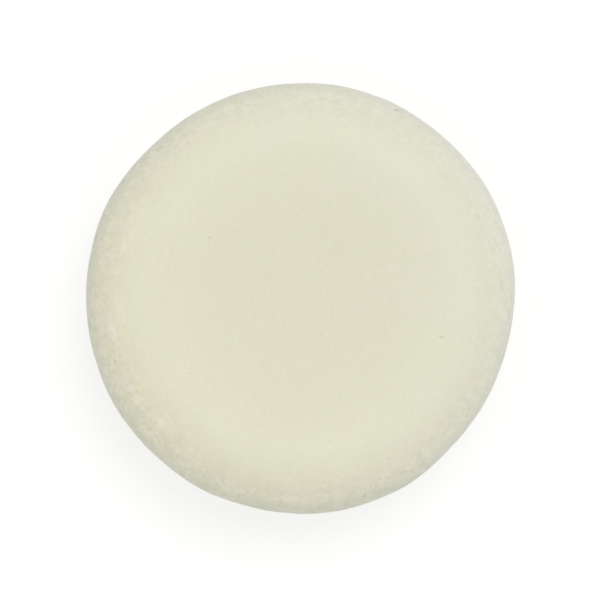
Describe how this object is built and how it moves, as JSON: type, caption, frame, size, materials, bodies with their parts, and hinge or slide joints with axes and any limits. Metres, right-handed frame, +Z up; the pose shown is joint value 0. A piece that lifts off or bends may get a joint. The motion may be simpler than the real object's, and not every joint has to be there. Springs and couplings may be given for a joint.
{
  "type": "shaving soap puck",
  "caption": "Round puck of hard cream shaving soap with a broad rolled edge and a shallow dished face, to lie in a shaving bowl or mug and be worked to a lather with a wet brush.",
  "frame": {"origin": "centre of the flat underside", "axes": "+Z up along the puck's axis, out of the dished face that the brush works; the puck is round about Z, so +X and +Y are free choices, with +X to the right of someone looking straight down on the face and +Y away from them"},
  "size_m": [0.07, 0.07, 0.024],
  "materials": {
    "soap": "matte"
  },
  "bodies": {
    "root": {"soap_puck": "soap"}
  },
  "joints": []
}
